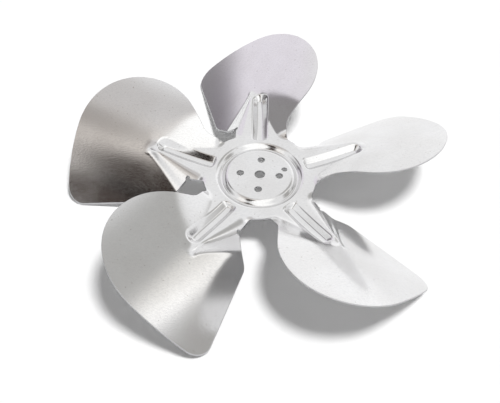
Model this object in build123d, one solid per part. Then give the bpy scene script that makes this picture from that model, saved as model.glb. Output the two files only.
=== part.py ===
from build123d import *
import math
import os

# Refrigerator fan blade: a hub and five pitched blades pressed from one flat blank of aluminium sheet.
# Frame: origin at the centre of the shaft hole on the hub's under face, +Z out of the face in view.
# Each blade is drawn in its own axes first: x along its stiffening rib, y towards its trailing edge.
# Lengths are in mm and angles in degrees.

# The sheet and the ring of blades
sheet = 1.2
tip_r = 127.0
blade_count = 5
first_blade = 18.0

# Holes in the hub
shaft_hole = 6.5
screw_hole = 4.5
screw_circle = 25.4
screw_count = 4
screw_turn = -4.4
key_hole = 3.4
key_circle = 33.4
key_turn = 16.0

# The ring groove round the hub and the ribs, all pressed down from the face in view
press_depth = 3.0
ring_r = 24.8
wall_angle = 46.0
bend_r = 2.2
rib_half = 6.2
rib_floor = 1.2
rib_end = 3.0
rib_out = 66.0
corner_share = 0.25

# The neck of each blade and the slots between the necks
slot_corner = 4.0
slot_lead = 3.4
slot_trail = 5.9
relief_r = 1.3
relief_x = 43.9

# Plan outline of a blade: a round leading lobe, the tip arc and a straight trailing edge
lobe_turn = 1.6
neck_end = 43.6
lead_flare = 39.4
lead_fillet = 9.0
trail_at_mid = 38.3
trail_mid = 85.0
trail_angle = 15.3
tip_corner = 11.4
shoulder_r = 9.8
trail_flare = 48.3

# Height of the blade over the hub plane: a tongue that climbs out of the hub and a pitched, cambered face.
# A straight ramp joins them on the leading side, and a bend on a cone joins them on the trailing side
pitch = 28.4
camber = 0.0033
skew = 2.35
rise = 6.8
fold_x = 70.0
fold_height = 4.3
flat_run = 5.0
neck_run = 7.5
ramp_back = 21.4
ramp_slope = 33.5
ramp_turn = 61.3
ramp_soft = 1.0
cone_ahead = 9.0
cone_inset = 1.2
cone_soft = 4.0
cone_start = 6.0
cone_end = 36.0
crown_run = 13.0

# Sizes that follow: the groove's section, the flat where a blade joins the hub, the round slot ends,
# the half widths of the neck and the lobe that touches both the leading flare and the tip circle
wall = math.radians(wall_angle)
groove_depth = press_depth + bend_r * (1 / math.cos(wall) - 1)
groove_half = groove_depth / math.tan(wall)
joint_x = ring_r + groove_half + bend_r * math.tan(wall / 2) + 0.4
slot_r = 0.995 * joint_x / math.cos(math.pi / blade_count)
joint_y = math.sqrt(slot_r ** 2 - joint_x ** 2)
joint_turn = math.degrees(math.atan2(joint_y, joint_x))
lead_at = 180 / blade_count - slot_lead
trail_at = 180 / blade_count - slot_trail
lead_half = (slot_r + slot_corner) * math.sin(math.radians(lead_at)) - slot_corner
trail_half = (slot_r + slot_corner) * math.sin(math.radians(trail_at)) - slot_corner
lead = math.radians(lead_flare)
lobe_share = math.sin(lead + math.radians(lobe_turn))
lobe_r = tip_r * lobe_share - neck_end * math.sin(lead) + lead_half * math.cos(lead)
lobe_r = lobe_r / (1 + lobe_share)


def ease(s):
    """Smooth step from 0 to 1."""
    s = min(max(s, 0.0), 1.0)
    return s * s * (3 - 2 * s)


def polar(r, a, centre=(0.0, 0.0)):
    """Point at radius r and angle a round a centre."""
    t = math.radians(a)
    return (centre[0] + r * math.cos(t), centre[1] + r * math.sin(t))


def ramp(s):
    """Straight rise from 0 to 1 with a rounded corner at each end."""
    s = min(max(s, 0.0), 1.0)
    straight = 1 - corner_share
    if s < corner_share:
        return s ** 2 / (2 * corner_share * straight)
    if s > straight:
        return 1 - (1 - s) ** 2 / (2 * corner_share * straight)
    return (s - corner_share / 2) / straight


def higher(a, b):
    """The higher of two heights, with a rounded corner where they cross."""
    return (a + b + math.hypot(a - b, ramp_soft)) / 2


def blade_height(x, y):
    """Height of the pressed sheet over the flat hub, without the rib."""
    along = x - fold_x
    across = y + along * math.tan(math.radians(skew))
    face = fold_height - across * math.tan(math.radians(pitch)) - camber * across ** 2
    face += along * math.tan(math.radians(rise))
    climb = max(x - joint_x - flat_run, 0.0) / (fold_x - joint_x - flat_run)
    tongue = fold_height * min(climb, 1.6) ** 1.5
    # The leading ramp is a plane that leaves the tongue and stops at the face
    turn = math.radians(ramp_turn)
    up_ramp = (x - rib_out + ramp_back) * math.cos(turn) - (y + rib_half) * math.sin(turn)
    lead_side = higher(tongue, up_ramp * math.tan(math.radians(ramp_slope)))
    lead_side = -higher(-lead_side, -face)
    # The trailing bend's lines meet in a point just past the rib's outer end
    before = math.hypot(max(rib_out + cone_ahead - x, 0.0), cone_soft)
    spread = math.atan2(y - rib_half + cone_inset, before)
    turned = ease((math.degrees(spread) - cone_start) / (cone_end - cone_start))
    trail_side = tongue + (face - tongue) * turned
    side = 0.5 + 0.5 * math.tanh(2 * y / rib_half)
    bent = lead_side + (trail_side - lead_side) * side
    bent = bent + (face - bent) * ease((x - rib_out) / crown_run)
    return tongue + (bent - tongue) * ease((x - joint_x) / neck_run)


def rib_depth(x, y):
    """Depth of the pressed rib, with straight walls, a blunt inner end and a round outer end."""
    short = joint_x + rib_end - x
    if short > 0:
        off = math.hypot(short * rib_half / rib_end, y)
    else:
        off = math.hypot(max(x - rib_out, 0.0), y)
    return press_depth * (1 - ramp((off - rib_floor) / (rib_half - rib_floor)))


def middle(x, y):
    """Height of the middle of the sheet."""
    return sheet / 2 + blade_height(x, y) - rib_depth(x, y)


def skin(x, y, side):
    """Point on the upper (side 1) or under (side -1) face, half a sheet from the middle."""
    h = 0.05
    slope_x = (middle(x + h, y) - middle(x - h, y)) / (2 * h)
    slope_y = (middle(x, y + h) - middle(x, y - h)) / (2 * h)
    if x == joint_x:
        slope_x = 0.0
    return (x, y, middle(x, y) + side * sheet / 2 * math.sqrt(1 + slope_x ** 2 + slope_y ** 2))


def spaced(first, last, count):
    """Even steps from first up to last, without last."""
    return [first + (last - first) * i / count for i in range(count)]


def station(x):
    """Places across the blade for one section: close together on the rib, spread out to just past the outline."""
    wide = min((x - joint_x) / (fold_x - joint_x), 1.0)
    low = lead_half + 5 + (lobe_r - 2 - lead_half) * wide
    high = trail_half + 5 + (trail_at_mid + 6 - trail_half) * wide
    beside = rib_half + 2
    rib_wall = spaced(rib_floor, rib_half, 6) + [rib_half, rib_half + 1]
    ys = [-y for y in reversed(spaced(beside, low, 10) + [low])] + [-y for y in reversed(rib_wall)]
    return ys + rib_wall + spaced(beside, high, 14) + [high]


def cross_section(x, at):
    """Closed section of the sheet across the blade at one station along it."""
    ys = station(x)
    upper = [skin(x, y, 1) for y in ys]
    under = [skin(x, y, -1) for y in ys]
    edges = [Edge.make_spline([Vector(*p) for p in upper], parameters=at)]
    edges.append(Edge.make_line(upper[-1], under[-1]))
    edges.append(Edge.make_spline([Vector(*p) for p in under], parameters=at))
    edges.append(Edge.make_line(upper[0], under[0]))
    return Wire(edges)


def blade_sheet():
    """One blade's pressed sheet, before it is cut to its outline."""
    xs = spaced(joint_x, tip_r + 3, 60) + [tip_r + 3]
    ys = station((joint_x + fold_x) / 2)
    at = [(y - ys[0]) / (ys[-1] - ys[0]) for y in ys]
    return Solid.make_loft([cross_section(x, at) for x in xs])


def blade_outline():
    """Plan outline of one blade from the hub joint to the tip."""
    edges = []
    # Slot end and leading side of the neck
    corner = polar(slot_r + slot_corner, -lead_at)
    edges.append(CenterArc((0, 0), slot_r, -joint_turn, joint_turn - lead_at))
    edges.append(CenterArc(corner, slot_corner, 180 - lead_at, lead_at - 90))
    # Leading flare, tangent to the lobe
    lobe = polar(tip_r - lobe_r, lobe_turn)
    touch = polar(lobe_r, -90 - lead_flare, lobe)
    turn_x = neck_end - lead_fillet * math.tan(lead / 2)
    edges.append(Line((corner[0], -lead_half), (turn_x, -lead_half)))
    neck_arc = CenterArc((turn_x, -lead_half - lead_fillet), lead_fillet, 90, -lead_flare)
    edges.append(neck_arc)
    edges.append(Line(neck_arc @ 1, touch))
    edges.append(CenterArc(lobe, lobe_r, -90 - lead_flare, 90 + lead_flare + lobe_turn))
    # Tip arc and tip corner
    trail = math.radians(trail_angle)
    line_dir = (math.cos(trail), math.sin(trail))
    base = (trail_mid + tip_corner * math.sin(trail), trail_at_mid - tip_corner * math.cos(trail))
    half = base[0] * line_dir[0] + base[1] * line_dir[1]
    reach = -half + math.sqrt(half ** 2 - base[0] ** 2 - base[1] ** 2 + (tip_r - tip_corner) ** 2)
    corner = (base[0] + reach * line_dir[0], base[1] + reach * line_dir[1])
    corner_at = math.degrees(math.atan2(corner[1], corner[0]))
    edges.append(CenterArc((0, 0), tip_r, lobe_turn, corner_at - lobe_turn))
    tip_arc = CenterArc(corner, tip_corner, corner_at, trail_angle + 90 - corner_at)
    edges.append(tip_arc)
    # Straight trailing edge, shoulder and trailing flare down to the relief
    flare = math.radians(trail_flare)
    cross = math.sin(flare - trail)
    dx = trail_mid - relief_x
    dy = trail_at_mid - trail_half
    run = (dx * math.sin(flare) - dy * math.cos(flare)) / -cross
    peak = (trail_mid + run * line_dir[0], trail_at_mid + run * line_dir[1])
    cut = shoulder_r * math.tan((flare - trail) / 2)
    turn_in = (peak[0] + cut * line_dir[0], peak[1] + cut * line_dir[1])
    shoulder = (turn_in[0] + shoulder_r * math.sin(trail), turn_in[1] - shoulder_r * math.cos(trail))
    round_arc = CenterArc(shoulder, shoulder_r, trail_angle + 90, trail_flare - trail_angle)
    edges.append(Line(tip_arc @ 1, turn_in))
    edges.append(round_arc)
    edges.append(Line(round_arc @ 1, (relief_x, trail_half)))
    # Trailing side of the neck back to the slot end
    corner = polar(slot_r + slot_corner, trail_at)
    edges.append(Line((relief_x, trail_half), (corner[0], trail_half)))
    edges.append(CenterArc(corner, slot_corner, 270, trail_at - 90))
    edges.append(CenterArc((0, 0), slot_r, trail_at, joint_turn - trail_at))
    edges.append(Line((joint_x, joint_y), (joint_x, -joint_y)))
    return make_face(edges)


def hub_plate():
    """Flat hub with its ring groove, cut to a flat against each blade."""
    points = [(0, 0), (ring_r - groove_half, 0), (ring_r, -groove_depth)]
    points += [(ring_r + groove_half, 0), (slot_r + 2, 0)]
    under = FilletPolyline(*points, radius=bend_r)
    section = make_face(offset(under, amount=sheet, side=Side.LEFT))
    plate = revolve(Plane.XZ * section, Axis.Z)
    turn = first_blade + 180 / blade_count
    flats = RegularPolygon(joint_x, blade_count, major_radius=False, rotation=turn)
    blank = extrude(flats & Circle(slot_r), amount=20, both=True)
    return plate & blank


def build():
    cutter = extrude(blade_outline(), amount=80, both=True)
    relief = Pos(relief_x, trail_half, 0) * Cylinder(relief_r, 60)
    blade = (Part() + blade_sheet()) & cutter
    blade = blade - relief
    fan = hub_plate()
    for i in range(blade_count):
        fan = fan + Rot(0, 0, first_blade + 360 / blade_count * i) * blade
    drill = Cylinder(shaft_hole / 2, 20)
    fan = fan - drill
    for i in range(screw_count):
        at = polar(screw_circle / 2, screw_turn + 360 / screw_count * i)
        fan = fan - Pos(at[0], at[1], 0) * Cylinder(screw_hole / 2, 20)
    at = polar(key_circle / 2, key_turn)
    return fan - Pos(at[0], at[1], 0) * Cylinder(key_hole / 2, 20)


fan = build()
os.makedirs("parts", exist_ok=True)
export_step(fan, "parts/fan_blade.step")
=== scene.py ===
import math

import bmesh
import bpy
import numpy as np
from mathutils import Matrix, Vector
from mathutils.geometry import delaunay_2d_cdt
from mathutils.kdtree import KDTree


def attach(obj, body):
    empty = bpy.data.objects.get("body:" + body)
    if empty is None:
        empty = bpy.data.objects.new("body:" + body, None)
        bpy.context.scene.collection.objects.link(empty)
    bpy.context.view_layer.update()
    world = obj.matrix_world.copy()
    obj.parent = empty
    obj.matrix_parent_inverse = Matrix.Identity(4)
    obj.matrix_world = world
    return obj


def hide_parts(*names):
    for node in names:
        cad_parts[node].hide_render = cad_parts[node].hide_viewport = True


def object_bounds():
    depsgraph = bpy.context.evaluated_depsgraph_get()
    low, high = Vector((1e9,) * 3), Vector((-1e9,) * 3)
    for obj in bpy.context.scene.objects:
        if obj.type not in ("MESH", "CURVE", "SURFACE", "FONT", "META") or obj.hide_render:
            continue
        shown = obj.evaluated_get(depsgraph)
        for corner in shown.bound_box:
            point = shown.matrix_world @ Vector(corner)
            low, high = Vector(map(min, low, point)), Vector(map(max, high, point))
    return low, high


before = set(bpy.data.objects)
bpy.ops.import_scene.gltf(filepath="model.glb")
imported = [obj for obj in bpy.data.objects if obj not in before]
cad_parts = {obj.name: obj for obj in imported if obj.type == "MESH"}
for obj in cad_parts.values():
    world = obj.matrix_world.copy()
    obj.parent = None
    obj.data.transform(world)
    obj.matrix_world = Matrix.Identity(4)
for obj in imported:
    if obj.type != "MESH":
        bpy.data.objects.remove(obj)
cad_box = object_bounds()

# The photograph: its size and lens in pixels, and where the hub's centre shows in it
IMAGE_WIDTH = 500
IMAGE_HEIGHT = 403
FOCAL_PIXELS = 752.7
HUB_PIXEL = (259.73, 174.24)

# The camera round the hub's upper face, in metres and degrees; its sensor is in mm
CAMERA_DISTANCE = 0.4892
CAMERA_ELEVATION = 50.73
CAMERA_ROLL = -1.60
CAMERA_TURN = -0.57
CLIP_START = 0.01
HUB_TOP = 0.0012
SENSOR = 36.0

# The floor, in metres, the even light that fills its shadows, and the key light, in degrees
WHITE = (1.0, 1.0, 1.0, 1.0)
FLOOR_SIZE = 6.0
FLOOR_GAP = 0.0001
FLOOR_WHITE = 0.97
FLOOR_ROUGHNESS = 0.9
FILL_STRENGTH = 0.30
KEY_STRENGTH = 2.45
KEY_SPREAD = 13.0
KEY_AZIMUTH = 110.0
KEY_ELEVATION = 75.0

# The room that the metal reflects: its tone, and soft round patches that are brighter or dimmer.
# Each patch has an azimuth, an elevation, an outer and an inner angle in degrees, and a gain for
# red, green and blue. Azimuth 0 is behind the fan, 90 is to its right, 180 is the camera's side
ROOM_TONE = (0.95, 0.95, 0.95, 1.0)
ROOM_PATCHES = (
    (30, 10, 40, 10, (1.18, 1.18, 1.18)),         # brighter wall behind
    (-90, -8, 40, 24, (0.30, 0.29, 0.29)),        # dim side on the left
    (-58, 8, 20, 10, (0.28, 0.265, 0.28)),        # dim corner behind it
    (-64, 42, 16, 6, (0.32, 0.31, 0.31)),         # dim wall over that corner
    (-40, 30, 24, 10, (0.95, 0.91, 0.97)),        # lilac tinge at the corner's edge
    (-149, 57, 10.5, 6.5, (0.03, 0.02, 0.016)),   # dark shape to the left of the camera
    (-146, 46, 10.5, 6, (0.045, 0.03, 0.025)),    # lower part of the dark shape
    (-130, 58, 22, 10, (0.90, 0.86, 0.82)),       # warm tinge round it
    (-108, 74, 24, 12, (0.70, 0.68, 0.67)),       # dimmer ceiling on the left
    (-119, 69, 6, 2.5, (0.66, 0.66, 0.66)),       # dimmest part of that ceiling
    (-130, 32, 15, 6, (1.22, 1.20, 1.17)),        # lighter wall under the dark shape
    (60, 49, 24, 8, (0.53, 0.525, 0.51)),         # dimmer wall behind on the right
    (81, 40, 8.5, 3, (1.50, 1.48, 1.44)),         # lighter gap in it
    (95, 24, 16, 5, (0.48, 0.47, 0.455)),         # dimmer side on the right
    (174, 58, 34, 18, (1.36, 1.36, 1.34)),        # bright side round the camera
)

# The pressed sheet, in mm and degrees, with the sizes of the solid that it stands for.
# The hub, its holes and its ring groove
SHEET = 1.2
TIP_R = 127.0
BLADES = 5
FIRST_BLADE = 18.0
SHAFT_HOLE = 6.5
SCREW_HOLE = 4.5
SCREW_CIRCLE = 25.4
SCREWS = 4
SCREW_TURN = -4.4
KEY_HOLE = 3.4
KEY_CIRCLE = 33.4
KEY_TURN = 16.0
PRESS_DEPTH = 3.0
RING_R = 24.8
WALL = math.radians(46.0)
BEND_R = 2.2
# A blade's rib
RIB_HALF = 6.2
RIB_FLOOR = 1.2
RIB_END = 3.0
RIB_OUT = 66.0
CORNER_SHARE = 0.25
# A blade's outline: the slots beside its neck, the leading flare, the lobe, the tip corner and the
# trailing edge
JOINT_GAP = 0.4
SLOT_SHARE = 0.995
SLOT_CORNER = 4.0
SLOT_LEAD = 3.4
SLOT_TRAIL = 5.9
RELIEF_R = 1.3
RELIEF_X = 43.9
LOBE_TURN = 1.6
NECK_END = 43.6
LEAD_FLARE = 39.4
LEAD_FILLET = 9.0
TRAIL_AT_MID = 38.3
TRAIL_MID = 85.0
TRAIL_ANGLE = 15.3
TIP_CORNER = 11.4
SHOULDER_R = 9.8
TRAIL_FLARE = 48.3
# A blade's heights: its pitched face, the tongue that climbs out of the hub, the leading ramp and
# the trailing cone
PITCH = 28.4
CAMBER = 0.0033
SKEW = 2.35
RISE = 6.8
FOLD_X = 70.0
FOLD_HEIGHT = 4.3
FLAT_RUN = 5.0
NECK_RUN = 7.5
CLIMB_MOST = 1.6
CLIMB_POWER = 1.5
RAMP_BACK = 21.4
RAMP_SLOPE = 33.5
RAMP_TURN = 61.3
RAMP_SOFT = 1.0
CONE_AHEAD = 9.0
CONE_INSET = 1.2
CONE_SOFT = 4.0
CONE_START = 6.0
CONE_END = 36.0
CROWN_RUN = 13.0
SIDE_SHARPNESS = 2
# Sizes that follow: the groove's section, the line where a blade joins the hub, the slots' round
# ends, the half widths of the neck and the lobe
GROOVE_HALF = (PRESS_DEPTH + BEND_R * (1 / math.cos(WALL) - 1)) / math.tan(WALL)
GROOVE_EDGE = GROOVE_HALF + BEND_R * math.tan(WALL / 2)
JOINT_X = RING_R + GROOVE_EDGE + JOINT_GAP
SLOT_R = SLOT_SHARE * JOINT_X / math.cos(math.pi / BLADES)
HALF_TURN = 180 / BLADES
LEAD_AT = HALF_TURN - SLOT_LEAD
TRAIL_AT = HALF_TURN - SLOT_TRAIL
LEAD_HALF = (SLOT_R + SLOT_CORNER) * math.sin(math.radians(LEAD_AT)) - SLOT_CORNER
TRAIL_HALF = (SLOT_R + SLOT_CORNER) * math.sin(math.radians(TRAIL_AT)) - SLOT_CORNER
LOBE_SHARE = math.sin(math.radians(LEAD_FLARE + LOBE_TURN))
LOBE_R = TIP_R * LOBE_SHARE - NECK_END * math.sin(math.radians(LEAD_FLARE))
LOBE_R = (LOBE_R + LEAD_HALF * math.cos(math.radians(LEAD_FLARE))) / (1 + LOBE_SHARE)

# The mesh of the sheet, in mm and degrees: the rounding of its cut edges, the step along them, the
# gap that other points keep from them, the fewest steps in an arc, and the step for a slope
EDGE_ROUND = 0.22
EDGE_STEP = 0.8
EDGE_CLEAR = 0.5
ARC_LEAST = 6
SLOPE_STEP = 0.05
# The hub's disc with its holes, and the rows of points over the ring groove, which end a little
# past the line where a blade joins the hub
DISC_R = 19.4
DISC_STEPS = 28
DISC_STEP = (1.6, 1.4)
DISC_CLEAR = 0.7
HOLE_STEPS = 48
RING_STEP = 0.4
RING_STEPS = 33
RING_STAGGER = 1.0
RING_PAST = 0.3
RING_KEPT = 0.1
# The grids of points over a blade: fine up to a line across it, coarse after that, and finest on
# the rib. The rib's grid goes a little past the rib, and the fine grid leaves out slightly more
PLAN_LOW = -46
FINE_FROM = 0.5
FINE_END = 82
FINE_HIGH = 50
FINE_STEP = (1.1, 1.0)
COARSE_HIGH = 52
COARSE_STEP = (2.3, 2.0)
RIB_FROM = 0.3
RIB_PAST = 1.5
RIB_BESIDE = 1.2
RIB_STEP = (0.7, 0.5)
OUT_PAST = 2
OUT_BESIDE = 1.6
# Twice the area of the largest triangle that is dropped as a sliver, in square mm
SLIVER = 1e-5
# What the triangulation keeps (the inside of the loop) and takes for one point, in mm
KEEP_INSIDE = 1
SAME_POINT = 1e-7
# Points that are welded into one, in metres
WELD = 2e-6
MM = 0.001
CUT_EDGE = "cut_edge"

# The aluminium sheet: its colour, the tints that vary it, and the scale, detail and range of the
# noise by which they come in
METAL_COLOUR = (0.83, 0.83, 0.835, 1.0)
CLOUD_TINT = (0.95, 0.945, 0.94, 1.0)
GRAIN_TINT = (0.95, 0.95, 0.955, 1.0)
SPECK_TINT = (0.78, 0.76, 0.74, 1.0)
CUT_TINT = (0.66, 0.66, 0.67, 1.0)
GRAIN_SCALE = (600.0, 1500.0, 600.0)
CLOUD_SCALE = (34.0, 34.0, 34.0)
SPECK_SCALE = (620.0, 620.0, 620.0)
GRAIN_DETAIL = 3.0
CLOUD_DETAIL = 4.0
SPECK_DETAIL = 1.0
GRAIN_RANGE = (0.35, 0.70)
CLOUD_RANGE = (0.35, 0.65)
SPECK_RANGE = (0.72, 0.78)
# Its roughness: from the grain, more where it is cloudy and on the cut edges
ROUGH_GRAIN = (0.2, 0.8)
ROUGH_LOW = 0.11
ROUGH_HIGH = 0.16
ROUGH_CLOUD = (0.45, 0.75)
ROUGH_CLOUDY = 0.03
ROUGH_CUT = 0.22
# The bump of its grain, with its depth in metres
BUMP_STRENGTH = 0.05
BUMP_DEPTH = 0.0002

# Sockets of a colour mix node
MIX_SHARE = 0
MIX_UNDER = 6
MIX_OVER = 7
MIX_RESULT = 2


def add_node(tree, kind, **values):
    """New node with its properties set by name."""
    node = tree.nodes.new(kind)
    for name, value in values.items():
        setattr(node, name, value)
    return node


def map_range(tree, source, low, high, to_low=0.0, to_high=1.0):
    """Smooth ramp of a value from one range to another."""
    node = add_node(tree, "ShaderNodeMapRange", interpolation_type="SMOOTHSTEP")
    tree.links.new(source, node.inputs["Value"])
    node.inputs["From Min"].default_value = low
    node.inputs["From Max"].default_value = high
    node.inputs["To Min"].default_value = to_low
    node.inputs["To Max"].default_value = to_high
    return node.outputs["Result"]


def math_node(tree, operation, a, b):
    """One operation on two sockets."""
    node = add_node(tree, "ShaderNodeMath", operation=operation)
    tree.links.new(a, node.inputs[0])
    tree.links.new(b, node.inputs[1])
    return node.outputs["Value"]


def add_tint(tree, share, under, colour):
    """Colour socket or value multiplied by another colour, by a share."""
    node = add_node(tree, "ShaderNodeMix", data_type="RGBA", blend_type="MULTIPLY")
    tree.links.new(share, node.inputs[MIX_SHARE])
    if isinstance(under, tuple):
        node.inputs[MIX_UNDER].default_value = under
    else:
        tree.links.new(under, node.inputs[MIX_UNDER])
    node.inputs[MIX_OVER].default_value = colour
    return node.outputs[MIX_RESULT]


def make_camera():
    """Camera at the photograph's viewing angle, worked out from where the hub shows."""
    tilt = math.radians(CAMERA_ELEVATION)
    roll = math.radians(CAMERA_ROLL)
    ahead = Vector((0, math.cos(tilt), -math.sin(tilt)))
    level_up = Vector((0, math.sin(tilt), math.cos(tilt)))
    level_right = Vector((1, 0, 0))
    right = math.cos(roll) * level_right - math.sin(roll) * level_up
    up = math.sin(roll) * level_right + math.cos(roll) * level_up
    off_x = (HUB_PIXEL[0] - IMAGE_WIDTH / 2) / FOCAL_PIXELS * CAMERA_DISTANCE
    off_y = (IMAGE_HEIGHT / 2 - HUB_PIXEL[1]) / FOCAL_PIXELS * CAMERA_DISTANCE
    place = -off_x * right - off_y * up - CAMERA_DISTANCE * ahead
    axes = Matrix((right, up, -ahead)).transposed().to_4x4()
    turn = Matrix.Rotation(math.radians(CAMERA_TURN), 4, "Z")
    hub = Matrix.Translation((0, 0, HUB_TOP))
    data = bpy.data.cameras.new("camera")
    data.sensor_width = SENSOR
    data.lens = SENSOR * FOCAL_PIXELS / IMAGE_WIDTH
    data.clip_start = CLIP_START
    camera = bpy.data.objects.new("camera", data)
    camera.matrix_world = hub @ turn @ Matrix.Translation(place) @ axes
    bpy.context.scene.collection.objects.link(camera)
    bpy.context.scene.camera = camera


def make_floor():
    """Plain white floor under the blade tips."""
    half = FLOOR_SIZE / 2
    level = cad_box[0].z - FLOOR_GAP
    corners = [(x * half, y * half, level) for x, y in ((-1, -1), (1, -1), (1, 1), (-1, 1))]
    mesh = bpy.data.meshes.new("floor")
    mesh.from_pydata(corners, [], [(0, 1, 2, 3)])
    material = bpy.data.materials.new("floor_white")
    material.use_nodes = True
    shader = material.node_tree.nodes["Principled BSDF"]
    shader.inputs["Base Color"].default_value = (FLOOR_WHITE, FLOOR_WHITE, FLOOR_WHITE, 1)
    shader.inputs["Roughness"].default_value = FLOOR_ROUGHNESS
    shader.inputs["Specular IOR Level"].default_value = 0.0
    mesh.materials.append(material)
    floor = bpy.data.objects.new("floor", mesh)
    bpy.context.scene.collection.objects.link(floor)


def towards(azimuth, elevation):
    """Unit vector to a place in the studio, with the azimuth of the room's patches."""
    turn = math.radians(azimuth)
    rise = math.radians(elevation)
    flat = math.cos(rise)
    return Vector((flat * math.sin(turn), flat * math.cos(turn), math.sin(rise)))


def make_key_light():
    """Soft, far light high over the right, which lights the floor evenly."""
    data = bpy.data.lights.new("key", "SUN")
    data.angle = math.radians(KEY_SPREAD)
    data.energy = KEY_STRENGTH
    light = bpy.data.objects.new("key", data)
    direction = towards(KEY_AZIMUTH, KEY_ELEVATION)
    light.location = direction
    light.rotation_mode = "QUATERNION"
    light.rotation_quaternion = (-direction).to_track_quat("-Z", "Y")
    light.visible_glossy = False
    bpy.context.scene.collection.objects.link(light)


def patch(tree, direction, azimuth, elevation, outer, inner):
    """Share of a round patch of the studio: 0 outside its outer angle, 1 inside its inner one."""
    node = add_node(tree, "ShaderNodeVectorMath", operation="DOT_PRODUCT")
    node.inputs[1].default_value = towards(azimuth, elevation)
    tree.links.new(direction, node.inputs[0])
    outer = math.cos(math.radians(outer))
    inner = math.cos(math.radians(inner))
    return map_range(tree, node.outputs["Value"], outer, inner)


def background(tree):
    """White background of strength 1, which renders as white."""
    node = add_node(tree, "ShaderNodeBackground")
    node.inputs["Color"].default_value = WHITE
    node.inputs["Strength"].default_value = 1.0
    return node


def choose(tree, share, off, on):
    """One of two shaders, by a share."""
    node = add_node(tree, "ShaderNodeMixShader")
    tree.links.new(share, node.inputs[0])
    tree.links.new(off, node.inputs[1])
    tree.links.new(on, node.inputs[2])
    return node.outputs["Shader"]


def make_world():
    """Pale studio: white to the camera, even fill for the floor, and the room for the metal."""
    world = bpy.data.worlds.new("studio")
    bpy.context.scene.world = world
    world.use_nodes = True
    tree = world.node_tree
    fill_light = tree.nodes["Background"]
    fill_light.inputs["Color"].default_value = WHITE
    fill_light.inputs["Strength"].default_value = FILL_STRENGTH
    direction = add_node(tree, "ShaderNodeTexCoord").outputs["Generated"]
    tone = ROOM_TONE
    for azimuth, elevation, outer, inner, gain in ROOM_PATCHES:
        share = patch(tree, direction, azimuth, elevation, outer, inner)
        tone = add_tint(tree, share, tone, (*gain, 1.0))
    room = background(tree)
    tree.links.new(tone, room.inputs["Color"])
    backdrop = background(tree)
    path = add_node(tree, "ShaderNodeLightPath").outputs
    mirrored = math_node(tree, "MAXIMUM", path["Is Glossy Ray"], path["Is Transmission Ray"])
    lit = choose(tree, mirrored, fill_light.outputs["Background"], room.outputs["Background"])
    shown = choose(tree, path["Is Camera Ray"], lit, backdrop.outputs["Background"])
    tree.links.new(shown, tree.nodes["World Output"].inputs["Surface"])


def noise(tree, place, scale, detail):
    """Noise of a scale that may differ by axis."""
    stretch = add_node(tree, "ShaderNodeMapping")
    stretch.inputs["Scale"].default_value = scale
    tree.links.new(place, stretch.inputs["Vector"])
    node = add_node(tree, "ShaderNodeTexNoise")
    node.inputs["Scale"].default_value = 1.0
    node.inputs["Detail"].default_value = detail
    tree.links.new(stretch.outputs["Vector"], node.inputs["Vector"])
    return node.outputs["Fac"]


def aluminium():
    """Bright mill-finish aluminium: fine grain, cloudy tone, specks, and duller sheared edges."""
    material = bpy.data.materials.new("mill_aluminium")
    material.use_nodes = True
    tree = material.node_tree
    shader = tree.nodes["Principled BSDF"]
    shader.inputs["Metallic"].default_value = 1.0
    place = add_node(tree, "ShaderNodeTexCoord").outputs["Object"]
    grain = noise(tree, place, GRAIN_SCALE, GRAIN_DETAIL)
    cloud = noise(tree, place, CLOUD_SCALE, CLOUD_DETAIL)
    speck = noise(tree, place, SPECK_SCALE, SPECK_DETAIL)
    colour = add_tint(tree, map_range(tree, cloud, *CLOUD_RANGE), METAL_COLOUR, CLOUD_TINT)
    colour = add_tint(tree, map_range(tree, grain, *GRAIN_RANGE), colour, GRAIN_TINT)
    colour = add_tint(tree, map_range(tree, speck, *SPECK_RANGE), colour, SPECK_TINT)
    cut = add_node(tree, "ShaderNodeAttribute", attribute_name=CUT_EDGE).outputs["Fac"]
    colour = add_tint(tree, cut, colour, CUT_TINT)
    tree.links.new(colour, shader.inputs["Base Color"])
    rough = map_range(tree, grain, *ROUGH_GRAIN, ROUGH_LOW, ROUGH_HIGH)
    cloudy = map_range(tree, cloud, *ROUGH_CLOUD, 0.0, ROUGH_CLOUDY)
    rough = math_node(tree, "ADD", rough, cloudy)
    sheared = map_range(tree, cut, 0.0, 1.0, 0.0, ROUGH_CUT)
    rough = math_node(tree, "ADD", rough, sheared)
    tree.links.new(rough, shader.inputs["Roughness"])
    bump = add_node(tree, "ShaderNodeBump")
    bump.inputs["Strength"].default_value = BUMP_STRENGTH
    bump.inputs["Distance"].default_value = BUMP_DEPTH
    tree.links.new(grain, bump.inputs["Height"])
    tree.links.new(bump.outputs["Normal"], shader.inputs["Normal"])
    return material


def ease(s):
    """Smooth step from 0 to 1."""
    s = np.clip(s, 0.0, 1.0)
    return s * s * (3 - 2 * s)


def ramp(s):
    """Straight rise from 0 to 1 with a rounded corner at each end."""
    s = np.clip(s, 0.0, 1.0)
    straight = 1 - CORNER_SHARE
    scale = 2 * CORNER_SHARE * straight
    rise = (s - CORNER_SHARE / 2) / straight
    rise = np.where(s < CORNER_SHARE, s ** 2 / scale, rise)
    return np.where(s > straight, 1 - (1 - s) ** 2 / scale, rise)


def higher(a, b):
    """The higher of two heights, with a rounded corner where they cross."""
    return (a + b + np.hypot(a - b, RAMP_SOFT)) / 2


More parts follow.
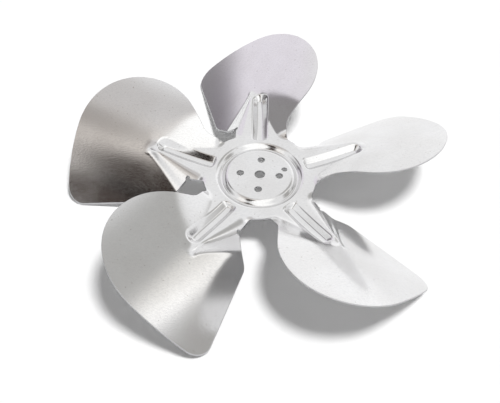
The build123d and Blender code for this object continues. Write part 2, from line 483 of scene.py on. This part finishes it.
def blade_height(x, y):
    """Height of the pressed sheet over the flat hub, without the rib."""
    along = x - FOLD_X
    across = y + along * math.tan(math.radians(SKEW))
    face = FOLD_HEIGHT - across * math.tan(math.radians(PITCH)) - CAMBER * across ** 2
    face = face + along * math.tan(math.radians(RISE))
    climb = np.maximum(x - JOINT_X - FLAT_RUN, 0.0) / (FOLD_X - JOINT_X - FLAT_RUN)
    tongue = FOLD_HEIGHT * np.minimum(climb, CLIMB_MOST) ** CLIMB_POWER
    turn = math.radians(RAMP_TURN)
    up_ramp = (x - RIB_OUT + RAMP_BACK) * math.cos(turn) - (y + RIB_HALF) * math.sin(turn)
    lead_side = higher(tongue, up_ramp * math.tan(math.radians(RAMP_SLOPE)))
    lead_side = -higher(-lead_side, -face)
    before = np.hypot(np.maximum(RIB_OUT + CONE_AHEAD - x, 0.0), CONE_SOFT)
    spread = np.degrees(np.arctan2(y - RIB_HALF + CONE_INSET, before))
    turned = ease((spread - CONE_START) / (CONE_END - CONE_START))
    trail_side = tongue + (face - tongue) * turned
    side = 0.5 + 0.5 * np.tanh(SIDE_SHARPNESS * y / RIB_HALF)
    bent = lead_side + (trail_side - lead_side) * side
    bent = bent + (face - bent) * ease((x - RIB_OUT) / CROWN_RUN)
    return tongue + (bent - tongue) * ease((x - JOINT_X) / NECK_RUN)


def rib_depth(x, y):
    """Depth of the pressed rib, with straight walls, a blunt inner end and a round outer end."""
    short = JOINT_X + RIB_END - x
    inner = np.hypot(np.maximum(short, 0.0) * RIB_HALF / RIB_END, y)
    outer = np.hypot(np.maximum(x - RIB_OUT, 0.0), y)
    off = np.where(short > 0, inner, outer)
    return PRESS_DEPTH * (1 - ramp((off - RIB_FLOOR) / (RIB_HALF - RIB_FLOOR)))


def groove_height(r, side):
    """Height of the hub's upper (side 1) or under (side -1) face, with the ring groove in it."""
    rise = SHEET * (1 + side) / 2
    shoulder = BEND_R + rise
    toe = BEND_R - rise
    off = np.abs(r - RING_R)
    from_edge = np.clip(GROOVE_EDGE - off, 0.0, shoulder)
    height = np.sqrt(shoulder ** 2 - from_edge ** 2) - BEND_R
    wall_top = GROOVE_EDGE - shoulder * math.sin(WALL)
    wall = shoulder * math.cos(WALL) - BEND_R - (wall_top - off) * math.tan(WALL)
    height = np.where(off < wall_top, wall, height)
    centre = -PRESS_DEPTH + BEND_R
    floor = centre - np.sqrt(np.maximum(toe ** 2 - off ** 2, 0.0))
    return np.where(off < toe * math.sin(WALL), floor, height)


def skin(x, y, side):
    """Height of the sheet's upper or under face in one blade's axes, hub included."""
    def middle(a, b):
        return SHEET / 2 + blade_height(a, b) - rib_depth(a, b)
    h = SLOPE_STEP
    slope_x = (middle(x + h, y) - middle(x - h, y)) / (2 * h)
    slope_y = (middle(x, y + h) - middle(x, y - h)) / (2 * h)
    blade = middle(x, y) + side * SHEET / 2 * np.sqrt(1 + slope_x ** 2 + slope_y ** 2)
    return np.where(x < JOINT_X, groove_height(np.hypot(x, y), side), blade)


def circle(radius, degrees):
    """Points of a circle round the middle, at the given angles."""
    turns = np.radians(degrees)
    return radius * np.stack([np.cos(turns), np.sin(turns)], 1)


def arc(centre, radius, start, sweep):
    """Points along an arc, without its last one."""
    count = max(ARC_LEAST, math.ceil(radius * math.radians(abs(sweep)) / EDGE_STEP))
    return np.asarray(centre) + circle(radius, start + sweep * np.arange(count) / count)


def run(first, last):
    """Points along a straight run, without its last one."""
    first = np.array(first)
    last = np.array(last)
    count = max(1, math.ceil(np.linalg.norm(last - first) / EDGE_STEP))
    return first + (last - first) * np.arange(count)[:, None] / count


def polar(r, a, centre=(0.0, 0.0)):
    """Point at radius r and angle a round a centre."""
    t = math.radians(a)
    return np.array((centre[0] + r * math.cos(t), centre[1] + r * math.sin(t)))


def blade_edge():
    """Plan of the cut edge round one blade, from the middle of one slot's end to the next one's."""
    parts = [arc((0, 0), SLOT_R, -HALF_TURN, HALF_TURN - LEAD_AT)]
    corner = polar(SLOT_R + SLOT_CORNER, -LEAD_AT)
    parts.append(arc(corner, SLOT_CORNER, 180 - LEAD_AT, LEAD_AT - 90))
    lead = math.radians(LEAD_FLARE)
    lobe = polar(TIP_R - LOBE_R, LOBE_TURN)
    turn_x = NECK_END - LEAD_FILLET * math.tan(lead / 2)
    fillet = (turn_x, -LEAD_HALF - LEAD_FILLET)
    parts.append(run((corner[0], -LEAD_HALF), (turn_x, -LEAD_HALF)))
    parts.append(arc(fillet, LEAD_FILLET, 90, -LEAD_FLARE))
    flare_from = polar(LEAD_FILLET, 90 - LEAD_FLARE, fillet)
    parts.append(run(flare_from, polar(LOBE_R, -90 - LEAD_FLARE, lobe)))
    parts.append(arc(lobe, LOBE_R, -90 - LEAD_FLARE, 90 + LEAD_FLARE + LOBE_TURN))
    trail = math.radians(TRAIL_ANGLE)
    line = np.array((math.cos(trail), math.sin(trail)))
    inside = np.array((math.sin(trail), -math.cos(trail)))
    trail_mid = np.array((TRAIL_MID, TRAIL_AT_MID))
    base = trail_mid + TIP_CORNER * inside
    half = base @ line
    reach = -half + math.sqrt(half ** 2 - base @ base + (TIP_R - TIP_CORNER) ** 2)
    tip = base + reach * line
    tip_at = math.degrees(math.atan2(tip[1], tip[0]))
    parts.append(arc((0, 0), TIP_R, LOBE_TURN, tip_at - LOBE_TURN))
    parts.append(arc(tip, TIP_CORNER, tip_at, TRAIL_ANGLE + 90 - tip_at))
    flare = math.radians(TRAIL_FLARE)
    flare_line = np.array((math.cos(flare), math.sin(flare)))
    relief = np.array((RELIEF_X, TRAIL_HALF))
    gap = trail_mid - relief
    back = (gap[0] * flare_line[1] - gap[1] * flare_line[0]) / -math.sin(flare - trail)
    peak = trail_mid + back * line
    turn_in = peak + SHOULDER_R * math.tan((flare - trail) / 2) * line
    shoulder = turn_in + SHOULDER_R * inside
    parts.append(run(polar(TIP_CORNER, TRAIL_ANGLE + 90, tip), turn_in))
    parts.append(arc(shoulder, SHOULDER_R, TRAIL_ANGLE + 90, TRAIL_FLARE - TRAIL_ANGLE))
    turn_out = polar(SHOULDER_R, TRAIL_FLARE + 90, shoulder)
    parts.append(run(turn_out, relief + RELIEF_R * flare_line))
    parts.append(arc(relief, RELIEF_R, TRAIL_FLARE, -180 - TRAIL_FLARE))
    corner = polar(SLOT_R + SLOT_CORNER, TRAIL_AT)
    parts.append(run(relief - (RELIEF_R, 0), (corner[0], TRAIL_HALF)))
    parts.append(arc(corner, SLOT_CORNER, 270, TRAIL_AT - 90))
    parts.append(arc((0, 0), SLOT_R, TRAIL_AT, HALF_TURN - TRAIL_AT))
    parts.append(polar(SLOT_R, HALF_TURN)[None])
    return np.concatenate(parts)


def inward(points, closed):
    """Unit vectors into the sheet from the points of a cut edge that has the sheet on its left."""
    ahead = np.roll(points, -1, 0)
    behind = np.roll(points, 1, 0)
    if not closed:
        ahead[-1] = points[-1]
        behind[0] = points[0]
    way = ahead - behind
    normal = np.stack([-way[:, 1], way[:, 0]], 1)
    if not closed:
        normal[0] = -points[0]
        normal[-1] = -points[-1]
    return normal / np.linalg.norm(normal, axis=1)[:, None]


def staggered(x0, x1, y0, y1, step):
    """Points on a grid with every second row set half a step along."""
    step_x, step_y = step
    rows = []
    for i, y in enumerate(np.arange(y0, y1 + step_y / 2, step_y)):
        xs = np.arange(x0 + (i % 2) * step_x / 2, x1, step_x)
        rows.append(np.stack([xs, np.full(len(xs), y)], 1))
    return np.concatenate(rows)


def inside_loop(points, loop):
    """Which points lie inside a closed loop."""
    x, y = points[:, 0], points[:, 1]
    count = np.zeros(len(points), int)
    for (ax, ay), (bx, by) in zip(loop, np.roll(loop, -1, 0)):
        if ay == by:
            continue
        crosses = (y > min(ay, by)) & (y <= max(ay, by))
        count += crosses & (ax + (y - ay) * (bx - ax) / (by - ay) > x)
    return count % 2 == 1


def clear_of(points, others, gap):
    """Points that lie further than a gap from all the others."""
    tree = KDTree(len(others))
    for i, p in enumerate(others):
        tree.insert((p[0], p[1], 0.0), i)
    tree.balance()
    return points[[tree.find((p[0], p[1], 0.0))[2] > gap for p in points]]


def fill(loops, points):
    """Triangles inside the first loop and outside the others, through the given points.

    Returns the points of the plan, the triangles, and where each given point went.
    """
    verts = [Vector(p) for p in np.concatenate(loops + [points])]
    faces = []
    start = 0
    for loop in loops:
        faces.append(list(range(start, start + len(loop))))
        start += len(loop)
    edges = [(f[i], f[(i + 1) % len(f)]) for f in faces for i in range(len(f))]
    result = delaunay_2d_cdt(verts, edges, faces[:1], KEEP_INSIDE, SAME_POINT, True)
    out, _, triangles, origin, _, _ = result
    plan = np.array([(v.x, v.y) for v in out])
    triangles = np.array(triangles)
    corners = plan[triangles]
    middles = corners.mean(1)
    sides = corners[:, 1:] - corners[:, :1]
    keep = np.abs(np.linalg.det(sides)) > SLIVER
    keep &= inside_loop(middles, loops[0])
    for loop in loops[1:]:
        keep &= ~inside_loop(middles, loop)
    where = {i: j for j, ids in enumerate(origin) for i in ids}
    return plan, triangles[keep], where


def face_points(plan, side, inset):
    """Points of the sheet's upper or under face over a plan, moved into the sheet by an inset."""
    x, y = plan[:, 0], plan[:, 1]
    return np.stack([x, y, skin(x, y, side) - side * inset], 1)


def sheet_mesh(plan, triangles, cuts):
    """Both faces of the sheet over a plan, with a rounded wall along each cut edge.

    Each cut has the points of its edge, the numbers of the plan's points beside them, and whether
    it is a closed loop.
    """
    count = len(plan)
    points = [face_points(plan, 1, 0.0), face_points(plan, -1, 0.0)]
    faces = [tuple(t) for t in triangles] + [tuple(t + count)[::-1] for t in triangles]
    start = 2 * count
    for edge, ids, closed in cuts:
        points += [face_points(edge, 1, EDGE_ROUND), face_points(edge, -1, EDGE_ROUND)]
        n = len(edge)
        for i in range(n if closed else n - 1):
            j = (i + 1) % n
            rings = [(ids[i], ids[j]), (start + i, start + j)]
            rings += [(start + n + i, start + n + j), (count + ids[i], count + ids[j])]
            for (a, b), (c, d) in zip(rings, rings[1:]):
                faces.append((b, a, c, d))
        start += 2 * n
    return np.concatenate(points), faces


def wedge():
    """One fifth of the fan outside the hub's disc, in one blade's axes: points in mm and faces."""
    edge = blade_edge()
    inner = edge + EDGE_ROUND * inward(edge, False)
    first_row = DISC_R + RING_STEP
    spokes = np.arange(first_row, SLOT_R - EDGE_ROUND - RING_STEP / 2, RING_STEP)[:, None]
    ray = polar(1.0, HALF_TURN)
    rim = circle(DISC_R, np.linspace(HALF_TURN, -HALF_TURN, DISC_STEPS + 1))
    loop = np.concatenate([inner, spokes[::-1] * ray, rim, spokes * ray * (1, -1)])
    turns = np.linspace(-HALF_TURN, HALF_TURN, RING_STEPS + 1)[1:-1]
    ring = []
    for i, r in enumerate(np.arange(first_row, JOINT_X + RING_PAST, RING_STEP)):
        ring.append(circle(r, turns + (i % 2 - 0.5) * RING_STAGGER))
    ring = np.concatenate(ring)
    ring = ring[ring[:, 0] < JOINT_X + RING_KEPT]
    near = staggered(JOINT_X + FINE_FROM, FINE_END, PLAN_LOW, FINE_HIGH, FINE_STEP)
    far = staggered(FINE_END, TIP_R, PLAN_LOW, COARSE_HIGH, COARSE_STEP)
    rib_out = RIB_OUT + RIB_HALF
    rib_side = RIB_HALF + RIB_BESIDE
    rib = staggered(JOINT_X + RIB_FROM, rib_out + RIB_PAST, -rib_side, rib_side, RIB_STEP)
    on_rib = np.abs(near[:, 1]) < RIB_HALF + OUT_BESIDE
    on_rib &= near[:, 0] < rib_out + OUT_PAST
    points = np.concatenate([ring, near[~on_rib], far, rib])
    points = points[inside_loop(points, loop)]
    points = clear_of(points, loop, EDGE_CLEAR)
    plan, triangles, where = fill([loop], points)
    ids = [where[i] for i in range(len(edge))]
    return sheet_mesh(plan, triangles, [(edge, ids, False)])


def hub_disc():
    """The flat middle of the hub with its holes: points in mm and faces."""
    count = BLADES * DISC_STEPS
    rim = circle(DISC_R, FIRST_BLADE - HALF_TURN + np.arange(count) * 360 / count)
    holes = [((0.0, 0.0), SHAFT_HOLE / 2), (polar(KEY_CIRCLE / 2, KEY_TURN), KEY_HOLE / 2)]
    for i in range(SCREWS):
        place = polar(SCREW_CIRCLE / 2, SCREW_TURN + 360 / SCREWS * i)
        holes.append((place, SCREW_HOLE / 2))
    loops = [rim]
    edges = []
    for centre, radius in holes:
        edge = np.asarray(centre) + circle(radius, -np.arange(HOLE_STEPS) * 360 / HOLE_STEPS)
        edges.append(edge)
        loops.append(edge + EDGE_ROUND * inward(edge, True))
    grid = staggered(-DISC_R, DISC_R, -DISC_R, DISC_R, DISC_STEP)
    grid = grid[np.hypot(grid[:, 0], grid[:, 1]) < DISC_R - DISC_CLEAR]
    for centre, radius in holes:
        grid = grid[np.hypot(*(grid - centre).T) > radius + DISC_CLEAR]
    plan, triangles, where = fill(loops, grid)
    cuts = []
    start = len(rim)
    for edge in edges:
        cuts.append((edge, [where[start + i] for i in range(len(edge))], True))
        start += len(edge)
    return sheet_mesh(plan, triangles, cuts)


def make_blade():
    """The whole pressed sheet as one closed mesh: the hub's disc and five turned wedges."""
    mesh = bpy.data.meshes.new("fan_blade_sheet")
    disc, faces = hub_disc()
    points = [disc]
    start = len(disc)
    fifth, fifth_faces = wedge()
    for i in range(BLADES):
        turn = math.radians(FIRST_BLADE + 360 / BLADES * i)
        c, s = math.cos(turn), math.sin(turn)
        spin = np.array(((c, -s, 0), (s, c, 0), (0, 0, 1)))
        points.append(fifth @ spin.T)
        faces += [tuple(start + v for v in f) for f in fifth_faces]
        start += len(fifth)
    mesh.from_pydata((np.concatenate(points) * MM).tolist(), [], faces)
    work = bmesh.new()
    work.from_mesh(mesh)
    bmesh.ops.remove_doubles(work, verts=work.verts, dist=WELD)
    bmesh.ops.recalc_face_normals(work, faces=work.faces)
    # The faces of the sheet are triangles and its cut edges are quads, with a crease between them
    cut = work.faces.layers.float.new(CUT_EDGE)
    for face in work.faces:
        face.smooth = True
        face[cut] = float(len(face.verts) == 4)
    for edge in work.edges:
        edge.smooth = len({len(face.verts) for face in edge.link_faces}) == 1
    work.to_mesh(mesh)
    work.free()
    blade = bpy.data.objects.new("fan_blade_sheet", mesh)
    bpy.context.scene.collection.objects.link(blade)
    mesh.materials.append(aluminium())
    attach(blade, "root")
    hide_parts("fan_blade")


bpy.context.scene.view_settings.view_transform = "Standard"
make_camera()
make_floor()
make_key_light()
make_world()
make_blade()
